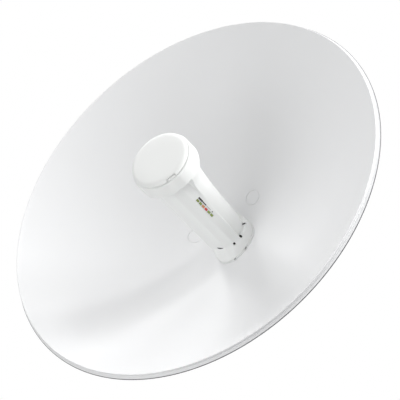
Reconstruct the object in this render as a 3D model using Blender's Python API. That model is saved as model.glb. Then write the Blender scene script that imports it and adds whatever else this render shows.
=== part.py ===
# A dish antenna for a point-to-point wireless link, in metres with +Z up.
# The dish looks along -Y. The origin is on the flat rear face of the pole bracket.
import math

import bmesh
import bpy
from mathutils import Vector

# Driving dimensions of the dish
DISH_RADIUS = 0.210
DISH_DEPTH = 0.082
SHEET = 0.0015
LIP_Y = -0.132
LIP_WIDTH = 0.0035
SKIRT_DEPTH = 0.0070
HEM = 0.0042
CENTRE_HOLE_RADIUS = 0.0215
DISH_SEGMENTS = 64
PARABOLA_STEPS = 10

# Driving dimensions of the feed, with Y places counted from the dish's lip
CAP_RADIUS = 0.0318
CAP_FRONT = -0.0673
CAP_HEIGHT = 0.0042
PARTING = 0.0008
COLLAR_RADIUS = 0.0335
COLLAR_END = -0.0461
TUBE_RADIUS = 0.0222
BASE_START = 0.0670
BASE_END = 0.0786
BASE_TOP_RADIUS = 0.0212
WAIST_RADIUS = 0.0176
RING_WIDER = 0.0008
SPIGOT_RADIUS = 0.0190
SPIGOT_END = 0.1000
FEED_TURN = math.radians(13.7)
FEED_SEGMENTS = 48
PANEL_TAPER = 0.92
CATCH_TURN = math.radians(-7.0)
CATCH_HALF = 0.0053
CATCH_FLOOR = 0.0288
CAP_EDGE = 0.0046
CAP_RISE = 0.0030

# Corners of the tube's three flats as (angle from the feed's near side, radius)
FLAT_CORNERS = [(-94.0, 0.0262), (-38.0, 0.0226), (-10.2, 0.0226), (15.6, 0.0224)]

# Corners of the tube's foot and of the ring below it as (angle, radius)
FOOT_CORNERS = [
    (-94.0, 0.0244),
    (-65.0, 0.0284),
    (-54.0, 0.0304),
    (-45.0, 0.0304),
    (-29.0, 0.0282),
    (-11.0, 0.0253),
    (1.0, 0.0238),
    (16.0, 0.0228),
]
FOOT_BACK_RADIUS = 0.0222

# The six indicator windows on the flat beside the near side
WINDOWS = 6
WINDOW_START = -0.0098
WINDOW_PITCH = 0.00545
WINDOW_LENGTH = 0.0042
WINDOW_WIDTH = 0.0022
WINDOW_ACROSS = -0.0018
WINDOW_POCKET = 0.0012

# Places of the small slots in the base ring and at the top of the foot as (angle, radius)
LATCH_PLACES = [(4.0, 0.0232), (-28.0, 0.0288), (120.0, 0.0220), (-150.0, 0.0220)]
FOOT_PLACES = [(18.0, 0.0212), (-10.2, 0.0208), (62.0, 0.0212), (150.0, 0.0212), (-150.0, 0.0212)]
SLOT_HALF = 0.0012
SLOT_DEPTH = 0.0022

# Driving dimensions of the housing behind the dish
HUB_RADIUS = 0.0290
HUB_FLANGE_RADIUS = 0.0335
HUB_LENGTH = 0.0380
PORT_START = -0.0365
PORT_HALF = 0.0070
DOOR_HALF = 0.0110
DOOR_LENGTH = 0.0200
GROMMET_RADIUS = 0.0042
GROMMET_LIP = 0.0025
DOOR_SEAT = 0.0055
TAB_HALF = 0.0070
TAB_START = 0.0040
TAB_END = 0.0160
TAB_SEAT = 0.0025

# Driving dimensions of the bracket
BOSS_CIRCLE = 0.050
BOSS_RADIUS = 0.0095
SCREW_DEPTH = 0.0032
PLATE_HALF = 0.0475
PLATE = 0.0025
EAR_END_Y = -0.010
EAR_HALF_HEIGHT = 0.029
CHEEK = 0.0030
CHEEK_START_Y = -0.040
CHEEK_HALF_HEIGHT = 0.026
WEB_HALF_HEIGHT = 0.030
JAW_DEPTH = 0.024
JAW_TIP_HALF = 0.036
JAW_ROOT_HALF = 0.006
JAW_ROOT_Y = 0.005
JAW_TEETH = 5
TOOTH = 0.0012
TILT_Y = -0.0255
TILT_Z = 0.017
BAND_X = 0.0405
BAND_Z = 0.0145
BAND_SLOT_HALF = 0.0025
BAND_SLOT_HEIGHT = 0.0150
CHEEK_OUTER = PLATE_HALF + 0.0003 + CHEEK

# Reach of the tools that cut right through a wall, and right through the bracket
THROUGH = 0.010
ACROSS = 0.060

# Fasteners
BOLT_RADIUS = 0.0030
NUT_RADIUS = 0.0058
NUT_HEIGHT = 0.0050
HEAD_HEIGHT = 0.0040
ROUND_SIDES = 16

GAP = 0.0003
HOLE = BOLT_RADIUS + 0.0004


# Scene helpers
def clear_scene():
    for item in list(bpy.data.objects):
        bpy.data.objects.remove(item)


def material(name, colour, roughness, metallic=0.0):
    made = bpy.data.materials.new(name)
    made.use_nodes = True
    shader = made.node_tree.nodes["Principled BSDF"]
    shader.inputs["Base Color"].default_value = (*colour, 1.0)
    shader.inputs["Roughness"].default_value = roughness
    shader.inputs["Metallic"].default_value = metallic
    return made


def add_object(name, mesh, finish, smooth=False):
    mesh.normal_update()
    bmesh.ops.recalc_face_normals(mesh, faces=mesh.faces)
    data = bpy.data.meshes.new(name)
    mesh.to_mesh(data)
    mesh.free()
    data.materials.append(finish)
    made = bpy.data.objects.new(name, data)
    bpy.context.collection.objects.link(made)
    if smooth:
        data.polygons.foreach_set("use_smooth", [True] * len(data.polygons))
    return made


def lathe(name, profile, finish, segments=FEED_SEGMENTS, closed=False):
    """Turn a profile of (radius, y) points about the boresight."""
    mesh = bmesh.new()
    points = [mesh.verts.new((radius, y, 0.0)) for radius, y in profile]
    edges = [mesh.edges.new(pair) for pair in zip(points, points[1:])]
    if closed:
        edges.append(mesh.edges.new((points[-1], points[0])))
    bmesh.ops.spin(
        mesh,
        geom=points + edges,
        axis=(0.0, 1.0, 0.0),
        cent=(0.0, 0.0, 0.0),
        steps=segments,
        angle=math.tau,
        use_merge=True,
    )
    bmesh.ops.remove_doubles(mesh, verts=mesh.verts, dist=0.00001)
    return add_object(name, mesh, finish, smooth=True)


def prism(name, outline, axis, low, high, finish, taper=1.0):
    """Extrude a flat outline along X, Y or Z. The outline holds the other two coordinates."""
    place = {
        "X": lambda a, b: (low, a, b),
        "Y": lambda a, b: (a, low, b),
        "Z": lambda a, b: (a, b, low),
    }[axis]
    step = {"X": (1, 0, 0), "Y": (0, 1, 0), "Z": (0, 0, 1)}[axis]
    mesh = bmesh.new()
    face = mesh.faces.new([mesh.verts.new(place(a, b)) for a, b in outline])
    grown = bmesh.ops.extrude_face_region(mesh, geom=[face])
    moved = [item for item in grown["geom"] if isinstance(item, bmesh.types.BMVert)]
    bmesh.ops.scale(mesh, verts=moved, vec=[1.0 if part else taper for part in step])
    bmesh.ops.translate(mesh, verts=moved, vec=Vector(step) * (high - low))
    return add_object(name, mesh, finish)


def box(name, low, high, finish):
    outline = [(low[0], low[1]), (high[0], low[1]), (high[0], high[1]), (low[0], high[1])]
    return prism(name, outline, "Z", low[2], high[2], finish)


def hull(name, points, finish):
    """The smallest solid without hollows around some points."""
    mesh = bmesh.new()
    for point in points:
        mesh.verts.new(point)
    bmesh.ops.convex_hull(mesh, input=mesh.verts)
    loose = [corner for corner in mesh.verts if not corner.link_faces]
    bmesh.ops.delete(mesh, geom=loose, context="VERTS")
    return add_object(name, mesh, finish)


def ring_of_points(centre, radius, sides, start=0.0):
    turns = [start + math.tau * step / sides for step in range(sides)]
    return [(centre[0] + radius * math.cos(t), centre[1] + radius * math.sin(t)) for t in turns]


def rod(name, centre, radius, axis, low, high, finish, sides=ROUND_SIDES):
    return prism(name, ring_of_points(centre, radius, sides), axis, low, high, finish)


def combine(target, tool, operation):
    """Cut a hidden tool from a piece, or add it to the piece."""
    change = target.modifiers.new(operation.lower() + "_" + tool.name, "BOOLEAN")
    change.operation = operation
    change.solver = "EXACT"
    change.object = tool
    tool.hide_render = True
    tool.display_type = "WIRE"


def cut(target, tool):
    combine(target, tool, "DIFFERENCE")


def fuse(target, tool):
    combine(target, tool, "UNION")


def around(angle, radius):
    """X and Z at an angle from straight down, turning towards +X."""
    return (radius * math.sin(angle), -radius * math.cos(angle))


# The dish
def dish_front(radius):
    inner = DISH_RADIUS - LIP_WIDTH
    return LIP_Y + DISH_DEPTH * (1.0 - (radius / inner) ** 2)


def boss_centres():
    turns = [math.radians(45.0 + 90.0 * step) for step in range(4)]
    return [around(turn, BOSS_CIRCLE) for turn in turns]


def build_reflector(paint):
    inner = DISH_RADIUS - LIP_WIDTH
    span = inner - CENTRE_HOLE_RADIUS
    radii = [CENTRE_HOLE_RADIUS + span * step / PARABOLA_STEPS for step in range(PARABOLA_STEPS + 1)]
    front = [(radius, dish_front(radius)) for radius in radii]
    rim = [
        (DISH_RADIUS - 0.0027, LIP_Y - 0.0004),
        (DISH_RADIUS - 0.0021, LIP_Y + 0.0003),
        (DISH_RADIUS - 0.0023, LIP_Y + 0.0012),
        (DISH_RADIUS - 0.0030, LIP_Y + 0.0018),
        (DISH_RADIUS - 0.0030, LIP_Y + 0.0040),
        (DISH_RADIUS - 0.0022, LIP_Y + 0.0047),
        (DISH_RADIUS - 0.0004, LIP_Y + 0.0048),
        (DISH_RADIUS, LIP_Y + 0.0052),
        (DISH_RADIUS, LIP_Y + 0.0057),
        (DISH_RADIUS - 0.0004, LIP_Y + 0.0061),
        (DISH_RADIUS - 0.0025, LIP_Y + 0.0063),
        (DISH_RADIUS - 0.0032, LIP_Y + SKIRT_DEPTH),
        (DISH_RADIUS - HEM, LIP_Y + SKIRT_DEPTH - 0.0004),
        (DISH_RADIUS - HEM, LIP_Y + 0.0022),
    ]
    back = [(radius, dish_front(radius) + SHEET) for radius in reversed(radii[:-1])]
    dish = lathe("reflector", front + rim + back, paint, DISH_SEGMENTS, closed=True)
    for number, centre in enumerate(boss_centres(), 1):
        fuse(dish, build_boss(number, centre, paint))
        floor = LIP_Y + DISH_DEPTH
        span = (floor - SCREW_DEPTH - GAP, floor + SHEET + GAP)
        cut(dish, rod(f"hole_{number}", centre, HOLE, "Y", *span, paint))
    return dish


def build_boss(number, centre, paint):
    """A round boss from the back of the bowl to the plane of the bracket's plate."""
    points = []
    for x, z in ring_of_points(centre, BOSS_RADIUS, FEED_SEGMENTS // 2):
        points.append((x, dish_front(math.hypot(x, z)) + SHEET / 2, z))
        points.append((x, LIP_Y + DISH_DEPTH + SHEET, z))
    return hull(f"boss_tool_{number}", points, paint)


# The feed
def at_feed(angle, radius):
    return around(FEED_TURN + angle, radius)


def feed_block(name, angle, across, along, outward, finish):
    """A block on the feed. Across and outward count from the axis, and along from the lip."""
    turn = FEED_TURN + angle
    out = Vector((math.sin(turn), 0.0, -math.cos(turn)))
    side = Vector((math.cos(turn), 0.0, math.sin(turn)))
    mesh = bmesh.new()
    bmesh.ops.create_cube(mesh, size=1.0)
    for corner in mesh.verts:
        spans = zip((across, along, outward), corner.co)
        sides = [span[0] if place < 0 else span[1] for span, place in spans]
        corner.co = side * sides[0] + Vector((0.0, LIP_Y + sides[1], 0.0)) + out * sides[2]
    return add_object(name, mesh, finish)


def panel_outline():
    """The tube's body on the side of the flats, larger than the flats that are cut from it."""
    turns = [-130.0, -112.0, -94.0, -66.0, -38.0, -10.2, 15.6]
    radii = [0.0205, 0.0240, 0.0262, 0.0280, 0.0270, 0.0260, 0.0224]
    outline = [at_feed(math.radians(turn), radius) for turn, radius in zip(turns, radii)]
    return outline + [at_feed(math.radians(120.0), 0.0100)]


def flat_outline():
    """Everything outside the three flats, which is cut from the tube."""
    inside = [at_feed(math.radians(turn), radius) for turn, radius in FLAT_CORNERS]
    outside = [at_feed(math.radians(turn), 0.045) for turn, radius in reversed(FLAT_CORNERS)]
    return inside + outside


def flat_place(first, second):
    """Angle and distance from the axis of the flat between two corners."""
    corners = FLAT_CORNERS[first : second + 1]
    ends = [Vector(at_feed(math.radians(turn), radius)) for turn, radius in corners]
    along = (ends[1] - ends[0]).normalized()
    normal = Vector((along.y, -along.x))
    return math.atan2(normal.x, -normal.y) - FEED_TURN, ends[0].dot(normal)


def foot_outline(wider=0.0):
    """The foot's outline: corners on the side of the flats and a round back."""
    back = [(turn, FOOT_BACK_RADIUS) for turn in range(36, 256, 20)]
    corners = [*FOOT_CORNERS, *back]
    return [at_feed(math.radians(turn), radius + wider) for turn, radius in corners]


def build_foot(plastic):
    """The foot spreads from the lower ends of the flats to its outline."""
    top = [at_feed(math.radians(turn), radius * PANEL_TAPER) for turn, radius in FLAT_CORNERS[1:]]
    top += [at_feed(math.radians(turn), BASE_TOP_RADIUS) for turn in range(30, 260, 20)]
    points = [(x, LIP_Y + BASE_START, z) for x, z in top]
    points += [(x, LIP_Y + BASE_END, z) for x, z in foot_outline()]
    return hull("foot_tool", points, plastic)


def build_feed_tube(plastic):
    start = CAP_FRONT + CAP_HEIGHT + PARTING
    places = [
        (0.0, start),
        (COLLAR_RADIUS - 0.0020, start),
        (COLLAR_RADIUS - 0.0006, start + 0.0008),
        (COLLAR_RADIUS, start + 0.0026),
        (COLLAR_RADIUS, COLLAR_END + 0.0010),
        (COLLAR_RADIUS - 0.0016, COLLAR_END + 0.0048),
        (COLLAR_RADIUS - 0.0045, COLLAR_END + 0.0098),
        (COLLAR_RADIUS - 0.0072, COLLAR_END + 0.0155),
        (COLLAR_RADIUS - 0.0092, COLLAR_END + 0.0225),
        (TUBE_RADIUS + 0.0008, COLLAR_END + 0.0330),
        (TUBE_RADIUS - 0.0006, COLLAR_END + 0.0480),
        (TUBE_RADIUS - 0.0020, COLLAR_END + 0.0700),
        (TUBE_RADIUS - 0.0030, BASE_START - 0.0180),
        (TUBE_RADIUS - 0.0037, BASE_START - 0.0070),
        (WAIST_RADIUS, BASE_START - 0.0010),
        (WAIST_RADIUS, BASE_END),
        (SPIGOT_RADIUS, BASE_END),
        (SPIGOT_RADIUS, SPIGOT_END),
        (0.0, SPIGOT_END),
    ]
    tube = lathe("feed_tube", [(radius, LIP_Y + y) for radius, y in places], plastic)
    front = LIP_Y + COLLAR_END
    back = LIP_Y + BASE_END
    outline = panel_outline()
    panel = prism("panel_tool", outline, "Y", front - 0.004, back, plastic, PANEL_TAPER)
    fuse(tube, panel)
    flats = prism("flat_tool", flat_outline(), "Y", front, back + 0.001, plastic, PANEL_TAPER)
    cut(tube, flats)
    fuse(tube, build_foot(plastic))
    angle = flat_place(2, 3)[0]
    for number in range(WINDOWS):
        across, along = window_place(number)
        outward = (window_out(along) - WINDOW_POCKET, COLLAR_RADIUS)
        across = (across[0] - GAP, across[1] + GAP)
        along = (along[0] - GAP, along[1] + GAP)
        cut(tube, feed_block(f"window_tool_{number}", angle, across, along, outward, plastic))
    cut_slots(tube, "foot_slot", FOOT_PLACES, BASE_START, plastic)
    return tube


def cut_slots(piece, name, places, start, finish):
    """Small open slots at the front edge of a step on the feed."""
    for number, (turn, radius) in enumerate(places, 1):
        across = (-SLOT_HALF, SLOT_HALF)
        along = (start - SLOT_DEPTH / 2, start + SLOT_DEPTH / 2)
        outward = (radius - 1.5 * SLOT_DEPTH, radius + SLOT_DEPTH)
        tool = feed_block(f"{name}_{number}", math.radians(turn), across, along, outward, finish)
        cut(piece, tool)


def window_place(number):
    middle = WINDOW_START + WINDOW_PITCH * number
    across = (WINDOW_ACROSS - WINDOW_WIDTH / 2, WINDOW_ACROSS + WINDOW_WIDTH / 2)
    return across, (middle - WINDOW_LENGTH / 2, middle + WINDOW_LENGTH / 2)


def window_out(along):
    """Distance from the axis of the tapered flat with the windows, at the middle of a stretch."""
    distance = flat_place(2, 3)[1]
    share = (sum(along) / 2 - COLLAR_END) / (BASE_START - COLLAR_END)
    return distance * (1.0 + (PANEL_TAPER - 1.0) * share)


def build_windows(finishes):
    names = ["indicator_power", "indicator_link"]
    names += [f"indicator_signal_{step}" for step in range(1, 5)]
    angle = flat_place(2, 3)[0]
    for number, (name, finish) in enumerate(zip(names, finishes)):
        across, along = window_place(number)
        surface = window_out(along)
        outward = (surface - WINDOW_POCKET + GAP, surface + GAP / 3)
        feed_block(name, angle, across, along, outward, finish)


def build_feed_cap(plastic):
    front = LIP_Y + CAP_FRONT
    back = front + CAP_HEIGHT
    edge = CAP_EDGE
    profile = [(0.0, front), (CAP_RADIUS - edge - 0.0010, front + 0.0002)]
    for step in range(1, 5):
        turn = math.radians(90.0) * step / 4
        radius = CAP_RADIUS - edge + edge * math.sin(turn)
        profile.append((radius, front + 0.0004 + CAP_RISE * (1.0 - math.cos(turn))))
    profile += [(CAP_RADIUS, back - 0.0006), (CAP_RADIUS - 0.0006, back), (0.0, back)]
    cap = lathe("feed_cap", profile, plastic)
    along = (CAP_FRONT + 0.0006, CAP_FRONT + CAP_HEIGHT + 0.001)
    across = (-CATCH_HALF, CATCH_HALF)
    outward = (CATCH_FLOOR, COLLAR_RADIUS + 0.002)
    cut(cap, feed_block("catch_tool", CATCH_TURN, across, along, outward, plastic))
    return cap


def build_cap_catch(plastic):
    along = (CAP_FRONT + 0.0024, CAP_FRONT + CAP_HEIGHT + PARTING - GAP)
    across = (-CATCH_HALF + 2 * GAP, CATCH_HALF - 2 * GAP)
    outward = (CATCH_FLOOR + GAP, CAP_RADIUS - 2 * GAP)
    feed_block("cap_catch", CATCH_TURN, across, along, outward, plastic)


def build_base_ring(plastic):
    """A thin ring that follows the bowl below and the foot's outline around."""
    wide = COLLAR_RADIUS
    inner = SPIGOT_RADIUS + GAP
    top = LIP_Y + BASE_END + GAP
    hole = CENTRE_HOLE_RADIUS
    profile = [
        (inner, top),
        (wide, top),
        (wide, dish_front(wide) - GAP),
        (hole, dish_front(hole) - GAP),
        (inner, dish_front(hole) - GAP),
    ]
    ring = lathe("base_ring", profile, plastic, closed=True)
    outline = foot_outline(RING_WIDER)
    keep = prism("ring_tool", outline, "Y", top - 0.010, top + 0.010, plastic)
    combine(ring, keep, "INTERSECT")
    cut_slots(ring, "latch_tool", LATCH_PLACES, top - LIP_Y, plastic)
    return ring


# The housing behind the dish
def build_rear_hub(plastic):
    plate_front = LIP_Y + DISH_DEPTH + SHEET + GAP
    inner = SPIGOT_RADIUS + GAP
    end = plate_front + HUB_LENGTH
    hole = CENTRE_HOLE_RADIUS
    flange = HUB_FLANGE_RADIUS
    profile = [
        (0.0, LIP_Y + SPIGOT_END + GAP),
        (inner, LIP_Y + SPIGOT_END + GAP),
        (inner, dish_front(hole) + SHEET + GAP),
        (hole, dish_front(hole) + SHEET + GAP),
        (flange, dish_front(flange) + SHEET + GAP),
        (flange, plate_front + 0.0024),
        (HUB_RADIUS, plate_front + 0.0036),
        (HUB_RADIUS, end - 0.0050),
        (HUB_RADIUS - 0.0015, end - 0.0015),
        (HUB_RADIUS - 0.0050, end),
        (0.0, end),
    ]
    hub = lathe("rear_hub", profile, plastic)
    low = (-DOOR_HALF - GAP, PORT_START - GAP, -HUB_RADIUS - 0.002)
    high = (DOOR_HALF + GAP, PORT_START + DOOR_LENGTH + GAP, -HUB_RADIUS + DOOR_SEAT)
    cut(hub, box("door_tool", low, high, plastic))
    low = (-PORT_HALF, PORT_START + 0.003, -HUB_RADIUS - 0.002)
    high = (PORT_HALF, PORT_START + 0.019, -0.014)
    cut(hub, box("port_tool", low, high, plastic))
    low = (-TAB_HALF - GAP, PORT_START + TAB_START - GAP, HUB_RADIUS - TAB_SEAT)
    high = (TAB_HALF + GAP, PORT_START + TAB_END + GAP, HUB_RADIUS + TAB_SEAT)
    cut(hub, box("tab_tool", low, high, plastic))
    return hub


def build_port_door(plastic):
    top = -HUB_RADIUS + DOOR_SEAT - GAP
    outline = []
    for step in range(9):
        x = -DOOR_HALF + 2 * DOOR_HALF * step / 8
        outline.append((x, -math.sqrt(HUB_RADIUS**2 - x * x)))
    outline += [(DOOR_HALF, top), (-DOOR_HALF, top)]
    door = prism("port_door", outline, "Y", PORT_START, PORT_START + DOOR_LENGTH, plastic)
    centre = (0.0, PORT_START + DOOR_LENGTH / 2)
    low = -HUB_RADIUS - DOOR_SEAT
    cut(door, rod("inlet_tool", centre, GROMMET_RADIUS + GAP, "Z", low, top + 0.002, plastic))
    return door


def build_grommet(rubber):
    top = -HUB_RADIUS + DOOR_SEAT - GAP
    centre = (0.0, PORT_START + DOOR_LENGTH / 2)
    low = -HUB_RADIUS - GROMMET_LIP
    outer = GROMMET_RADIUS + GROMMET_LIP / 2
    grommet = rod("cable_grommet", centre, GROMMET_RADIUS, "Z", low, top, rubber)
    fuse(grommet, rod("grommet_lip", centre, outer, "Z", low, -HUB_RADIUS - GAP, rubber))
    return grommet


def build_release_tab(plastic):
    low = (-TAB_HALF, PORT_START + TAB_START, HUB_RADIUS - TAB_SEAT + GAP)
    high = (TAB_HALF, PORT_START + TAB_END, HUB_RADIUS + 0.0015)
    return box("release_tab", low, high, plastic)


# The bracket
def hex_nut(name, centre, axis, low, high, finish):
    nut = rod(name, centre, NUT_RADIUS, axis, low, high, finish, sides=6)
    bore = rod(name + "_bore", centre, HOLE - 0.0001, axis, low - 0.001, high + 0.001, finish)
    cut(nut, bore)
    return nut


def bolt(name, centre, axis, head, shank, finish):
    """A bolt from two spans along its axis: the head's and the shank's, which overlap."""
    body = rod(name, centre, BOLT_RADIUS, axis, shank[0], shank[1], finish)
    top = rod(name + "_head", centre, NUT_RADIUS, axis, head[0], head[1], finish, sides=6)
    fuse(body, top)
    return body


def plate_y():
    """Front face of the bracket's plate, on the backs of the four bosses."""
    return LIP_Y + DISH_DEPTH + SHEET + GAP


def build_dish_bracket(steel):
    front = plate_y()
    half = PLATE_HALF
    corner = 0.008
    outline = [
        (-half, -half + corner),
        (-half + corner, -half),
        (half - corner, -half),
        (half, -half + corner),
        (half, half - corner),
        (half - corner, half),
        (-half + corner, half),
        (-half, half - corner),
    ]
    bracket = prism("dish_bracket", outline, "Y", front, front + PLATE, steel)
    span = (front - THROUGH, front + THROUGH)
    hole = rod("hub_tool", (0.0, 0.0), HUB_FLANGE_RADIUS + 2 * GAP, "Y", *span, steel, 32)
    for side in (-1, 1):
        outer = side * half
        inner = side * (half - PLATE)
        ear_outline = [
            (front, -EAR_HALF_HEIGHT),
            (EAR_END_Y - 0.010, -EAR_HALF_HEIGHT),
            (EAR_END_Y, -EAR_HALF_HEIGHT + 0.010),
            (EAR_END_Y, EAR_HALF_HEIGHT - 0.010),
            (EAR_END_Y - 0.010, EAR_HALF_HEIGHT),
            (front, EAR_HALF_HEIGHT),
        ]
        low, high = sorted((outer, inner))
        ear = prism(f"ear_tool_{side + 1}", ear_outline, "X", low, high, steel)
        fuse(bracket, ear)
    cut(bracket, hole)
    for number, centre in enumerate(boss_centres(), 1):
        cut(bracket, rod(f"plate_hole_{number}", centre, HOLE, "Y", *span, steel))
    cut(bracket, rod("pivot_tool", (TILT_Y, -TILT_Z), HOLE, "X", -ACROSS, ACROSS, steel))
    cut(bracket, prism("slot_tool", tilt_slot_outline(), "X", -ACROSS, ACROSS, steel))
    return bracket


def tilt_slot_outline():
    """A slot with round ends on an arc about the pivot."""
    reach = 2 * TILT_Z
    swing = math.radians(14.0)
    steps = 6
    outline = []
    for edge, order in ((reach + HOLE, 1), (reach - HOLE, -1)):
        turns = [order * swing * (2 * step / steps - 1) for step in range(steps + 1)]
        outline += [(TILT_Y + edge * math.sin(t), -TILT_Z + edge * math.cos(t)) for t in turns]
        end = order * swing
        centre = (TILT_Y + reach * math.sin(end), -TILT_Z + reach * math.cos(end))
        for step in range(1, 4):
            half_turn = math.pi if order < 0 else 0.0
            t = math.radians(90.0) - end + half_turn - math.pi * step / 4
            outline.append((centre[0] + HOLE * math.cos(t), centre[1] + HOLE * math.sin(t)))
    return outline


def jaw_outline(base, tip_y, root_y):
    """A V jaw with teeth. The base is flat and the notch opens towards the pole."""
    points = [(-CHEEK_OUTER, base), (-CHEEK_OUTER, tip_y - 0.004), (-JAW_TIP_HALF, tip_y)]
    for step in range(JAW_TEETH):
        share = (step + 0.5) / JAW_TEETH
        x = JAW_TIP_HALF + (JAW_ROOT_HALF - JAW_TIP_HALF) * share
        y = tip_y + (root_y - tip_y) * share
        points.append((-x, y - TOOTH))
        share = (step + 1.0) / JAW_TEETH
        x = JAW_TIP_HALF + (JAW_ROOT_HALF - JAW_TIP_HALF) * share
        points.append((-x, tip_y + (root_y - tip_y) * share))
    mirrored = [(-x, y) for x, y in reversed(points)]
    return points + mirrored


def build_pole_bracket(steel):
    outline = [(-CHEEK_OUTER, -CHEEK), (CHEEK_OUTER, -CHEEK), (CHEEK_OUTER, 0.0), (-CHEEK_OUTER, 0.0)]
    bracket = prism("pole_bracket", outline, "Z", -WEB_HALF_HEIGHT, WEB_HALF_HEIGHT, steel)
    for side in (-1, 1):
        low, high = sorted((side * CHEEK_OUTER, side * (CHEEK_OUTER - CHEEK)))
        cheek_outline = [
            (-CHEEK * 0.5, -CHEEK_HALF_HEIGHT),
            (-CHEEK * 0.5, CHEEK_HALF_HEIGHT),
            (CHEEK_START_Y + 0.008, CHEEK_HALF_HEIGHT),
            (CHEEK_START_Y, CHEEK_HALF_HEIGHT - 0.008),
            (CHEEK_START_Y, -CHEEK_HALF_HEIGHT + 0.008),
            (CHEEK_START_Y + 0.008, -CHEEK_HALF_HEIGHT),
        ]
        fuse(bracket, prism(f"cheek_tool_{side + 1}", cheek_outline, "X", low, high, steel))
    jaw = jaw_outline(-CHEEK * 0.5, JAW_DEPTH, JAW_ROOT_Y)
    for end in (-1, 1):
        low, high = sorted((end * WEB_HALF_HEIGHT, end * (WEB_HALF_HEIGHT - CHEEK)))
        fuse(bracket, prism(f"jaw_tool_{end + 1}", jaw, "Z", low, high, steel))
    for side in (-1, 1):
        for end in (-1, 1):
            x = side * BAND_X
            z = end * BAND_Z
            low = (x - BAND_SLOT_HALF, -THROUGH, z - BAND_SLOT_HEIGHT / 2)
            high = (x + BAND_SLOT_HALF, THROUGH, z + BAND_SLOT_HEIGHT / 2)
            cut(bracket, box(f"band_tool_{side + 1}{end + 1}", low, high, steel))
    for z in (-TILT_Z, TILT_Z):
        name = "upper" if z > 0 else "lower"
        cut(bracket, rod(f"cheek_hole_{name}", (TILT_Y, z), HOLE, "X", -ACROSS, ACROSS, steel))
    return bracket


def build_fasteners(steel):
    floor = LIP_Y + DISH_DEPTH
    seat = plate_y() + PLATE + GAP
    for number, centre in enumerate(boss_centres(), 1):
        head = (seat, seat + HEAD_HEIGHT)
        bolt(f"dish_bolt_{number}", centre, "Y", head, (floor - SCREW_DEPTH, seat + GAP), steel)
    for side, word in ((-1, "left"), (1, "right")):
        for z, job in ((-TILT_Z, "pivot"), (TILT_Z, "lock")):
            outer = CHEEK_OUTER + GAP
            inner = PLATE_HALF - PLATE - GAP
            head = sorted((side * outer, side * (outer + HEAD_HEIGHT)))
            shank = sorted((side * (outer + 0.001), side * (inner - NUT_HEIGHT - 0.0015)))
            nut = sorted((side * inner, side * (inner - NUT_HEIGHT)))
            bolt(f"tilt_{job}_bolt_{word}", (TILT_Y, z), "X", head, shank, steel)
            hex_nut(f"tilt_{job}_nut_{word}", (TILT_Y, z), "X", nut[0], nut[1], steel)


def main():
    clear_scene()
    white_paint = material("white_paint", (0.84, 0.85, 0.86), 0.35)
    white_plastic = material("white_plastic", (0.82, 0.83, 0.83), 0.32)
    zinc_steel = material("zinc_steel", (0.62, 0.63, 0.64), 0.38, 1.0)
    black_rubber = material("black_rubber", (0.03, 0.03, 0.03), 0.75)
    olive = material("olive_lens", (0.30, 0.36, 0.12), 0.3)
    green = material("green_lens", (0.24, 0.42, 0.14), 0.3)
    orange = material("orange_lens", (0.62, 0.30, 0.10), 0.3)
    red = material("red_lens", (0.62, 0.08, 0.06), 0.3)
    build_reflector(white_paint)
    build_feed_tube(white_plastic)
    build_windows([olive, green, orange, red, green, green])
    build_feed_cap(white_plastic)
    build_cap_catch(white_plastic)
    build_base_ring(white_plastic)
    build_rear_hub(white_plastic)
    build_port_door(white_plastic)
    build_grommet(black_rubber)
    build_release_tab(white_plastic)
    build_dish_bracket(zinc_steel)
    build_pole_bracket(zinc_steel)
    build_fasteners(zinc_steel)


main()
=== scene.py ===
# %% [markdown]
# # A wireless bridge dish antenna
# The object is a white dish that gathers a radio beam, with a tube on its axis that holds
# the radio. Behind it a plastic housing covers the cable socket, and a steel bracket
# holds everything to a pole. The solids of the part are loaded first, because each
# finished piece sits exactly where its solid sits.

# %% Load the frame
import math

import bmesh
import bpy
from mathutils import Matrix, Vector


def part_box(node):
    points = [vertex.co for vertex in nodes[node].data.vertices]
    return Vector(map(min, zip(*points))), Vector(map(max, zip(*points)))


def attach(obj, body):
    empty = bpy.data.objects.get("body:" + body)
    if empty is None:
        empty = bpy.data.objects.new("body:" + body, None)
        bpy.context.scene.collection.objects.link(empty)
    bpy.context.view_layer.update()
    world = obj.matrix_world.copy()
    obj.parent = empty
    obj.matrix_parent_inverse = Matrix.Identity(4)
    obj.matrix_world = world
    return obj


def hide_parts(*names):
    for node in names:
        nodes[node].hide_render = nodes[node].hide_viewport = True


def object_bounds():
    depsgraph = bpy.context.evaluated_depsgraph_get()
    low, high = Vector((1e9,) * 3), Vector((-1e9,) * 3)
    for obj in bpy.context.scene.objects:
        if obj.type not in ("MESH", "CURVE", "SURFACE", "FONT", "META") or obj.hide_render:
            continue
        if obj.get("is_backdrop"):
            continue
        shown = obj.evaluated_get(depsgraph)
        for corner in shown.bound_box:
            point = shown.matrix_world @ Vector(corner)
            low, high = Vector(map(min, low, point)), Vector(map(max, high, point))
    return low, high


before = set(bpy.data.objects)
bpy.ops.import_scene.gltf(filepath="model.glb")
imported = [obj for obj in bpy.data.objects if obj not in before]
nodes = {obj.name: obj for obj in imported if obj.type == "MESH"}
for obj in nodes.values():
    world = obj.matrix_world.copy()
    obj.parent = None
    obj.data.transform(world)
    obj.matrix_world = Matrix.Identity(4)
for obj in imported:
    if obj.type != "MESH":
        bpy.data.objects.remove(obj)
cad_low, cad_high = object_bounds()
print("solids loaded:", len(nodes))
print("size in mm:", [round(1000 * side) for side in cad_high - cad_low])

# %% [markdown]
# ## Measures
# The same measures shaped the solids, so the finished pieces repeat them. The dish looks
# along -Y. Places along the feed are counted from the dish's lip, and turns about it are
# counted in degrees from the side that faces the viewer.

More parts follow.
